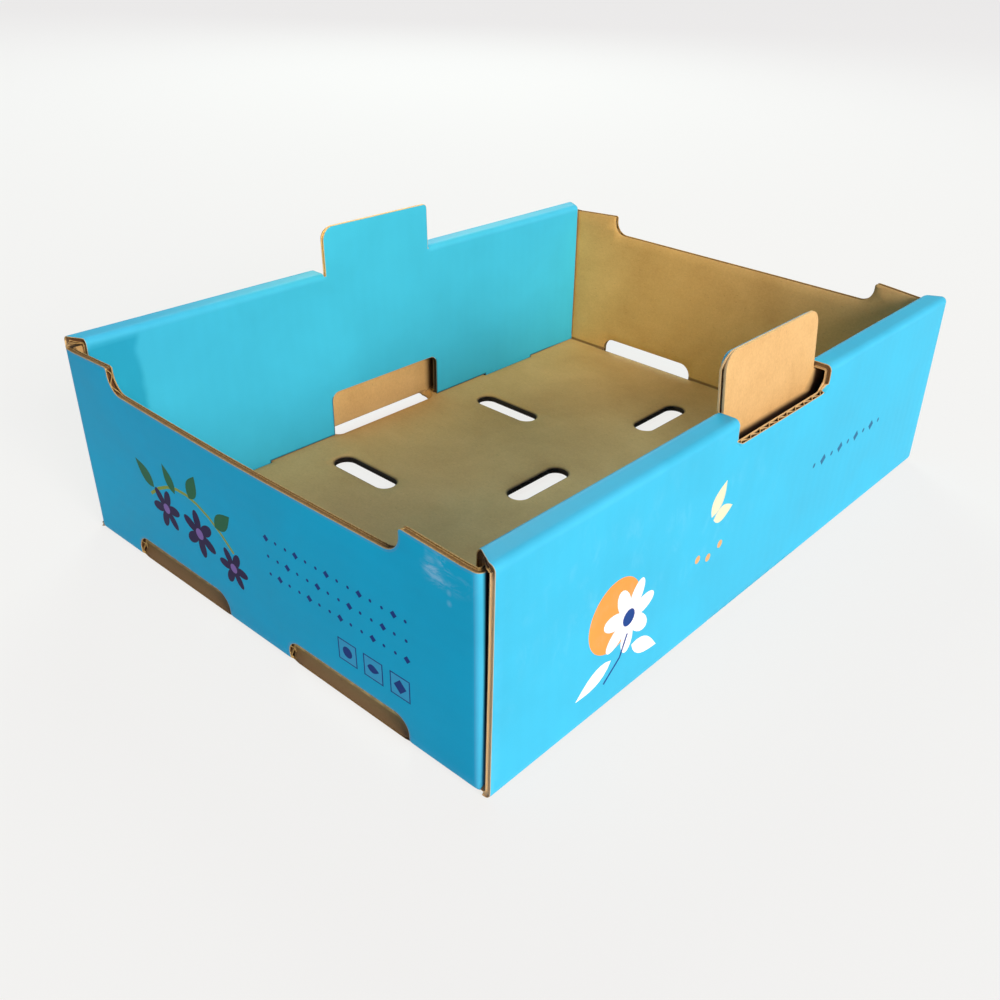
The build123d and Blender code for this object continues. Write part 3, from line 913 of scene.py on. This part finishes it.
traySheet = buildSheet()
mesh = traySheet.data
triangleCount = sum(len(polygon.vertices) - 2 for polygon in mesh.polygons)
print("sheet folded:", len(mesh.vertices), "points,", triangleCount, "triangles")

# shade smooth, with every cut edge left crisp
for polygon in mesh.polygons:
    polygon.use_smooth = True
mesh.set_sharp_from_angle(angle=math.radians(38))


def nodeGroup(name, inputs, outputs):
    group = bpy.data.node_groups.new(name, "ShaderNodeTree")
    for label, kind, value in inputs:
        socket = group.interface.new_socket(label, in_out="INPUT", socket_type=kind)
        if value is not None:
            socket.default_value = value
    for label, kind in outputs:
        group.interface.new_socket(label, in_out="OUTPUT", socket_type=kind)
    return group, group.nodes.new("NodeGroupInput"), group.nodes.new("NodeGroupOutput")


class Tree:
    # short ways to add and join nodes in one node tree
    def __init__(self, tree):
        self.tree = tree

    def node(self, kind, **values):
        node = self.tree.nodes.new(kind)
        for name, value in values.items():
            setattr(node, name, value)
        return node

    def join(self, source, socket):
        if isinstance(source, bpy.types.NodeSocket):
            self.tree.links.new(source, socket)
        else:
            socket.default_value = source

    def math(self, operation, *values, clamp=False):
        node = self.node("ShaderNodeMath", operation=operation, use_clamp=clamp)
        for value, socket in zip(values, node.inputs):
            self.join(value, socket)
        return node.outputs[0]

    def vector(self, operation, *values):
        node = self.node("ShaderNodeVectorMath", operation=operation)
        for value, socket in zip(values, node.inputs):
            self.join(value, socket)
        return node.outputs["Value" if operation in ("LENGTH", "DISTANCE", "DOT_PRODUCT") else "Vector"]

    def noise(self, place, scale, detail=3.0, rough=0.55, distortion=0.0):
        node = self.node("ShaderNodeTexNoise")
        self.join(place, node.inputs["Vector"])
        node.inputs["Scale"].default_value = scale
        node.inputs["Detail"].default_value = detail
        node.inputs["Roughness"].default_value = rough
        node.inputs["Distortion"].default_value = distortion
        return node.outputs["Fac"]

    def remap(self, value, low, high, toLow=0.0, toHigh=1.0, kind="LINEAR"):
        node = self.node("ShaderNodeMapRange", interpolation_type=kind)
        for source, socket in zip((value, low, high, toLow, toHigh), node.inputs):
            self.join(source, socket)
        return node.outputs["Result"]

    def mix(self, share, a, b, blend="MIX"):
        node = self.node("ShaderNodeMix", data_type="RGBA", blend_type=blend)
        self.join(share, node.inputs["Factor"])
        self.join(a, node.inputs[6])
        self.join(b, node.inputs[7])
        return node.outputs[2]

    def attribute(self, name, output="Vector"):
        return self.node("ShaderNodeAttribute", attribute_name=name).outputs[output]

    def emboss(self, height, shader):
        # relief in metres through a bump node
        bump = self.node("ShaderNodeBump")
        bump.inputs["Distance"].default_value = 1.0
        self.join(height, bump.inputs["Height"])
        self.join(bump.outputs["Normal"], shader.inputs["Normal"])

    def liner(self, finish):
        # what both liners share: place, paper, flutes that show through and the relief
        place = self.attribute("flatPlace")
        pitch = board["flutePitch"] * 0.001
        wash = self.group(washboardGroup, place=place, pitch=pitch, phase=board["flutePhase"])
        paper = self.group(fibreGroup, place=place)
        height = self.math("MULTIPLY_ADD", wash["height"], finish["washboard"],
                           self.math("MULTIPLY", paper["height"], finish["fibre"]))
        return place, wash, paper, height

    def group(self, group, **values):
        node = self.node("ShaderNodeGroup", node_tree=group)
        for name, value in values.items():
            self.join(value, node.inputs[name])
        return node.outputs


def fluteWashboard():
    # the flutes print through the liner as faint bars, stronger in some places than in others
    group, into, out = nodeGroup("fluteWashboard", [
        ("place", "NodeSocketVector", None), ("pitch", "NodeSocketFloat", 0.0077),
        ("phase", "NodeSocketFloat", 0.0)],
        [("height", "NodeSocketFloat"), ("shade", "NodeSocketFloat")])
    t = Tree(group)
    split = t.node("ShaderNodeSeparateXYZ")
    t.join(into.outputs["place"], split.inputs[0])
    turns = t.math("DIVIDE", split.outputs["X"], into.outputs["pitch"])
    wave = t.math("COSINE", t.math("ADD", t.math("MULTIPLY", turns, 2 * math.pi), into.outputs["phase"]))
    uneven = t.remap(t.noise(into.outputs["place"], 14.0, 2.0), 0.3, 0.7, 0.35, 1.0)
    height = t.math("MULTIPLY", wave, uneven)
    t.join(height, out.inputs["height"])
    t.join(t.math("MULTIPLY_ADD", height, 0.5, 0.5), out.inputs["shade"])
    return group


def paperFibre():
    # long soft fibres, darker specks and slow cloudiness of the paper
    group, into, out = nodeGroup("paperFibre", [
        ("place", "NodeSocketVector", None), ("stretch", "NodeSocketVector", (1, 0.18, 1))],
        [("height", "NodeSocketFloat"), ("shade", "NodeSocketFloat"), ("specks", "NodeSocketFloat"),
         ("clouds", "NodeSocketFloat")])
    t = Tree(group)
    along = t.vector("MULTIPLY", into.outputs["place"], into.outputs["stretch"])
    fibre = t.noise(along, 2600.0, 4.0, 0.65)
    grain = t.noise(into.outputs["place"], 900.0, 3.0, 0.6)
    speckle = t.node("ShaderNodeTexVoronoi", feature="F1")
    t.join(along, speckle.inputs["Vector"])
    speckle.inputs["Scale"].default_value = 520.0
    t.join(t.math("MULTIPLY_ADD", fibre, 0.6, t.math("MULTIPLY", grain, 0.4)), out.inputs["height"])
    t.join(t.math("MULTIPLY_ADD", fibre, 0.5, t.math("MULTIPLY", grain, 0.5)), out.inputs["shade"])
    t.join(t.remap(speckle.outputs["Distance"], 0.10, 0.02), out.inputs["specks"])
    t.join(t.noise(into.outputs["place"], 18.0, 3.0, 0.6, 0.4), out.inputs["clouds"])
    return group


def scuffPatch():
    # a rubbed place: streaky whitish marks inside a soft round
    group, into, out = nodeGroup("scuffPatch", [
        ("place", "NodeSocketVector", None), ("centre", "NodeSocketVector", (0, 0, 0)),
        ("reach", "NodeSocketVector", (1, 1, 1)), ("amount", "NodeSocketFloat", 1.0)],
        [("mask", "NodeSocketFloat")])
    t = Tree(group)
    away = t.vector("DIVIDE", t.vector("SUBTRACT", into.outputs["place"], into.outputs["centre"]),
                    into.outputs["reach"])
    near = t.remap(t.vector("LENGTH", away), 1.0, 0.25, kind="SMOOTHSTEP")
    streak = t.vector("MULTIPLY", into.outputs["place"], (1.0, 0.35, 1.0))
    marks = t.remap(t.noise(streak, 190.0, 4.0, 0.68, 0.8), 0.46, 0.66)
    blotch = t.remap(t.noise(into.outputs["place"], 70.0, 2.0), 0.45, 0.62)
    mask = t.math("MULTIPLY", t.math("MULTIPLY", marks, blotch), near)
    t.join(t.math("MULTIPLY", mask, into.outputs["amount"]), out.inputs["mask"])
    return group


washboardGroup, fibreGroup, scuffGroup = fluteWashboard(), paperFibre(), scuffPatch()


def newMaterial(name):
    material = bpy.data.materials.new(name)
    material.use_nodes = True
    tree = Tree(material.node_tree)
    return material, tree, material.node_tree.nodes["Principled BSDF"]


filmFinish = {
    "roughness": 0.43, "specular": 0.05, "washboard": 0.000012, "fibre": 0.000004,
    # the lighter blue of the folds is wear with a painted highlight
    "cutWhite": (0.74, 0.68, 0.52), "scuffWhite": (0.74, 0.91, 0.94), "foldWearAndHighlightBlue": (0.40, 0.80, 0.92),
    "hollow": (0.03, 0.05, 0.10),   # painted shade for the dark gaps between folded layers
    # painted shade: a strip of the back wall's inner panel beside the near end is darker
    "shadedStrip": (0.45, 0.74, 0.78, 1), "shadedStripEdge": (-0.1515, -0.156), "shadedStripWander": 0.012,
    # rubbed near the corner that the hand meets, and here and there along the walls
    "cornerScuff": {"centre": (-0.2845, -0.117, 0), "reach": (0.013, 0.018, 1), "amount": 0.9},
    "flankScuff": {"centre": (-0.10, -0.20, 0), "reach": (0.16, 0.05, 1), "amount": 0.06},
    "spots": ((-0.2745, -0.1195, 0), (-0.2700, -0.1195, 0)), "spotReach": (0.0018, 0.0016, 1),
    "spotAmount": 0.26,
}


def blueFilm():
    # the printed liner: blue film with the print, thin satin varnish, rubbed spots, pale cut rims, lighter
    # folds that are worn and carry a painted highlight, and painted shade in the hollows and on a strip of
    # the back wall
    material, t, shader = newMaterial("printedLiner")
    place, wash, paper, height = t.liner(filmFinish)
    cloudy = t.remap(paper["clouds"], 0.3, 0.7, 0.95, 1.05)
    banded = t.math("MULTIPLY", cloudy, t.remap(wash["shade"], 0, 1, 0.994, 1.006))
    grainy = t.math("MULTIPLY", banded, t.remap(paper["shade"], 0.3, 0.7, 0.985, 1.015))
    shade = t.node("ShaderNodeCombineColor")
    for socket in shade.inputs:
        t.join(grainy, socket)
    colour = t.mix(1.0, t.attribute("ink", "Color"), shade.outputs[0], "MULTIPLY")
    split = t.node("ShaderNodeSeparateXYZ")
    t.join(place, split.inputs[0])
    # painted shade on a strip of the back wall's inner panel beside the near end
    wander = t.math("MULTIPLY_ADD", t.noise(place, 30.0, 2.0), filmFinish["shadedStripWander"], split.outputs["X"])
    shadedStripMask = t.math("MULTIPLY", t.remap(wander, *filmFinish["shadedStripEdge"], kind="SMOOTHSTEP"),
                  t.remap(split.outputs["Y"], panelStart * 0.001 - 0.001, panelStart * 0.001 + 0.003))
    colour = t.mix(shadedStripMask, colour, filmFinish["shadedStrip"], "MULTIPLY")
    corner = t.group(scuffGroup, place=place, **filmFinish["cornerScuff"])
    flank = t.group(scuffGroup, place=place, **filmFinish["flankScuff"])
    rubbed = t.math("MAXIMUM", corner["mask"], flank["mask"])
    for spot in filmFinish["spots"]:
        away = t.vector("DIVIDE", t.vector("SUBTRACT", place, spot), filmFinish["spotReach"])
        mark = t.remap(t.vector("LENGTH", away), 1.0, 0.1, 0.0, filmFinish["spotAmount"])
        rubbed = t.math("MAXIMUM", rubbed, mark)
    colour = t.mix(rubbed, colour, toLinear(filmFinish["scuffWhite"]))
    # along the folds the blue is lighter: wear, with a painted highlight
    foldWearAndHighlight = t.math("MULTIPLY", t.attribute("crease", "Fac"), t.remap(paper["clouds"], 0.3, 0.7, 0.05, 0.22))
    colour = t.mix(foldWearAndHighlight, colour, toLinear(filmFinish["foldWearAndHighlightBlue"]))
    rim = t.remap(t.attribute("cutRim", "Fac"), 0.72, 0.95)
    colour = t.mix(rim, colour, toLinear(filmFinish["cutWhite"]))
    # painted shade in the hollows between the layers
    colour = t.mix(t.attribute("paintedShade", "Fac"), colour, toLinear(filmFinish["hollow"]))
    t.join(colour, shader.inputs["Base Color"])
    rough = filmFinish["roughness"]
    rough = t.remap(paper["clouds"], 0.3, 0.7, rough - 0.04, rough + 0.05)
    t.join(t.math("ADD", rough, t.math("MULTIPLY", rubbed, 0.25)), shader.inputs["Roughness"])
    shader.inputs["Specular IOR Level"].default_value = filmFinish["specular"]
    t.emboss(height, shader)
    return material


kraftFinish = {
    "light": (0.87, 0.72, 0.46), "dark": (0.74, 0.58, 0.33), "speck": (0.50, 0.36, 0.20),
    # the crease colour is a score line with painted shade in it; the hollow colour is painted shade inside
    # the hollow walls
    "crease": (0.34, 0.22, 0.10), "hollow": (0.20, 0.12, 0.05), "specks": 0.6, "creaseShare": 0.75,
    "roughness": 0.78, "washboard": 0.000008, "fibre": 0.000010,
}


def kraftLiner():
    # the plain brown inside of the sheet
    material, t, shader = newMaterial("kraftLiner")
    place, wash, paper, height = t.liner(kraftFinish)
    tone = t.math("ADD", t.remap(paper["clouds"], 0.3, 0.7, 0.1, 0.7),
                  t.remap(paper["shade"], 0.3, 0.7, -0.2, 0.4))
    tone = t.math("ADD", tone, t.remap(wash["shade"], 0, 1, -0.02, 0.02), clamp=True)
    colour = t.mix(tone, toLinear(kraftFinish["dark"]), toLinear(kraftFinish["light"]))
    specks = t.math("MULTIPLY", paper["specks"], kraftFinish["specks"])
    colour = t.mix(specks, colour, toLinear(kraftFinish["speck"]))
    # a dark line along the folds: a score line, with painted shade in the crease
    scoreLineAndShade = t.remap(t.attribute("crease", "Fac"), 0.45, 1.0, 0.0, kraftFinish["creaseShare"])
    colour = t.mix(scoreLineAndShade, colour, toLinear(kraftFinish["crease"]))
    # painted shade inside the hollow walls
    colour = t.mix(t.attribute("paintedShade", "Fac"), colour, toLinear(kraftFinish["hollow"]))
    t.join(colour, shader.inputs["Base Color"])
    rough = kraftFinish["roughness"]
    t.join(t.remap(paper["shade"], 0.3, 0.7, rough - 0.06, rough + 0.08), shader.inputs["Roughness"])
    t.emboss(height, shader)
    return material


cutFinish = {
    "pale": (0.82, 0.69, 0.42), "dark": (0.60, 0.46, 0.21), "paleEdge": (0.93, 0.80, 0.55),
    # the next two colours are painted shade: down in the flutes, and on the floor slots' cut walls and in the
    # hollows
    "deep": (0.36, 0.22, 0.07), "slotShade": (0.10, 0.07, 0.03),
    "paleEdgeShare": 0.7, "roughness": 0.9, "fuzz": 0.00006,
}


def cutBoard():
    # raw cut edges: torn paper, pale on the liners' edges, paler on the tabs, the outer panels' ends and the
    # cut-outs, with painted shade down in the flutes, on the floor slots' cut walls and in the hollows
    material, t, shader = newMaterial("cutBoard")
    place = t.attribute("flatPlace")
    paper = t.group(fibreGroup, place=place, stretch=(1, 1, 1))
    torn = t.noise(place, 1300.0, 4.0, 0.7)
    colour = t.mix(t.remap(torn, 0.35, 0.65), toLinear(cutFinish["dark"]), toLinear(cutFinish["pale"]))
    # paler raw edges on the tabs, the outer panels' ends and the cut-outs
    paleEdge = t.math("MULTIPLY", t.attribute("paleEdge", "Fac"), cutFinish["paleEdgeShare"], clamp=True)
    colour = t.mix(paleEdge, colour, toLinear(cutFinish["paleEdge"]))
    # painted shade down in the flutes
    deep = t.remap(t.attribute("pocketShade", "Fac"), 0.05, 0.7)
    colour = t.mix(deep, colour, toLinear(cutFinish["deep"]))
    # painted shade on the floor slots' cut walls, beside the notches and in the hollows
    colour = t.mix(t.attribute("paintedShade", "Fac"), colour, toLinear(cutFinish["slotShade"]))
    t.join(colour, shader.inputs["Base Color"])
    shader.inputs["Roughness"].default_value = cutFinish["roughness"]
    t.emboss(t.math("MULTIPLY", t.math("ADD", torn, paper["height"]), cutFinish["fuzz"]), shader)
    return material


for material in (blueFilm(), kraftLiner(), cutBoard()):
    mesh.materials.append(material)
print("finishes made:", [material.name for material in mesh.materials])

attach(traySheet, "root")
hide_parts("tray_box")

studio = {
    "paper": (0.938, 0.928, 0.898),   # the pale background, as the camera sees it
    "skyShare": 0.95,       # and how much of that paleness lies beyond the floor
    "cameraShare": 0.86,    # how much of the floor is that plain paleness; the rest takes the tray's shadow
    "floorColour": 0.80,
    "floorReach": 14.0, "floorDrop": 0.0006,
    "worldLight": (0.001, 0.001, 0.227),
}
# a lamp's power is stated for red, green and blue; spread is the angle of its beam
lamps = {
    "keySoftbox": {"power": (668.0, 606.0, 578.0), "place": (-1.40, -6.40, 2.90), "size": 3.4, "spread": 180},
    "backSoftbox": {"power": (21.3, 26.5, 23.8), "place": (1.20, 1.30, 1.15), "size": 1.1, "spread": 180},
    "topSoftbox": {"power": (4.0, 4.8, 2.1), "place": (0.0, 0.0, 1.90), "size": 1.4, "spread": 180},
    "sideSoftbox": {"power": (0.1, 1.5, 1.5), "place": (-3.00, -0.60, 1.30), "size": 1.4, "spread": 180},
    "innerSoftbox": {"power": (0.087, 0.062, 0.001), "place": (-0.22, 0.05, 0.24), "size": 0.16, "spread": 60,
                     "aim": (0.19, 0.085, 0.085)},
}


def addPaleness(tree, lit, pale, share, output):
    # camera, glossy and transmitted rays see the plain pale background in place of what the lamps light
    t = Tree(tree)
    path = t.node("ShaderNodeLightPath")
    seen = t.math("MAXIMUM", path.outputs["Is Camera Ray"],
                  t.math("MAXIMUM", path.outputs["Is Glossy Ray"], path.outputs["Is Transmission Ray"]))
    blend = t.node("ShaderNodeMixShader")
    t.join(seen if share is None else t.math("MULTIPLY", seen, share), blend.inputs[0])
    for i, (kind, colour) in enumerate((lit, pale)):
        shader = t.node(kind)
        shader.inputs["Color"].default_value = (*colour, 1)
        t.join(shader.outputs[0], blend.inputs[i + 1])
    t.join(blend.outputs[0], t.node(output).inputs["Surface"])


def buildStudio():
    reach = studio["floorReach"]
    floorMesh = bpy.data.meshes.new("studioFloor")
    corners = [(-reach, -reach, 0), (reach, -reach, 0), (reach, reach, 0), (-reach, reach, 0)]
    floorMesh.from_pydata(corners, [], [(0, 1, 2, 3)])
    floor = bpy.data.objects.new("studioFloor", floorMesh)
    floor.location.z = -studio["floorDrop"]
    bpy.context.scene.collection.objects.link(floor)
    material = bpy.data.materials.new("paleFloor")
    material.use_nodes = True
    material.node_tree.nodes.clear()
    addPaleness(material.node_tree, ("ShaderNodeBsdfDiffuse", (studio["floorColour"],) * 3),
                ("ShaderNodeEmission", studio["paper"]), studio["cameraShare"], "ShaderNodeOutputMaterial")
    floorMesh.materials.append(material)

    world = bpy.data.worlds.new("studioWorld")
    bpy.context.scene.world = world
    world.use_nodes = True
    world.node_tree.nodes.clear()
    sky = [studio["skyShare"] * c for c in studio["paper"]]
    addPaleness(world.node_tree, ("ShaderNodeBackground", studio["worldLight"]),
                ("ShaderNodeBackground", sky), None, "ShaderNodeOutputWorld")

    for name, values in lamps.items():
        lamp = bpy.data.lights.new(name, "AREA")
        lamp.energy = max(values["power"])
        lamp.color = [p / lamp.energy for p in values["power"]]
        lamp.shape = "DISK"
        lamp.size = values["size"]
        lamp.spread = math.radians(values["spread"])
        holder = bpy.data.objects.new(name, lamp)
        holder.location = values["place"]
        aim = Vector(values.get("aim", (0, 0, 0.05)))
        holder.rotation_euler = (aim - Vector(values["place"])).to_track_quat("-Z", "Y").to_euler()
        bpy.context.scene.collection.objects.link(holder)


buildStudio()

view = {
    "place": (-0.39865, -0.32122, 0.29267), "turn": (61.178, -2.245, -48.786),
    "lens": 37.458, "shiftX": -0.0211, "shiftY": -0.0295,
}
cameraData = bpy.data.cameras.new("studioCamera")
cameraData.sensor_width = 36.0
cameraData.lens = view["lens"]
cameraData.shift_x, cameraData.shift_y = view["shiftX"], view["shiftY"]
cameraData.clip_start, cameraData.clip_end = 0.01, 60.0
camera = bpy.data.objects.new("studioCamera", cameraData)
camera.location = view["place"]
camera.rotation_euler = Euler([math.radians(a) for a in view["turn"]], "XYZ")
bpy.context.scene.collection.objects.link(camera)
bpy.context.scene.camera = camera
bpy.context.scene.view_settings.view_transform = "Standard"
print("studio and camera set")
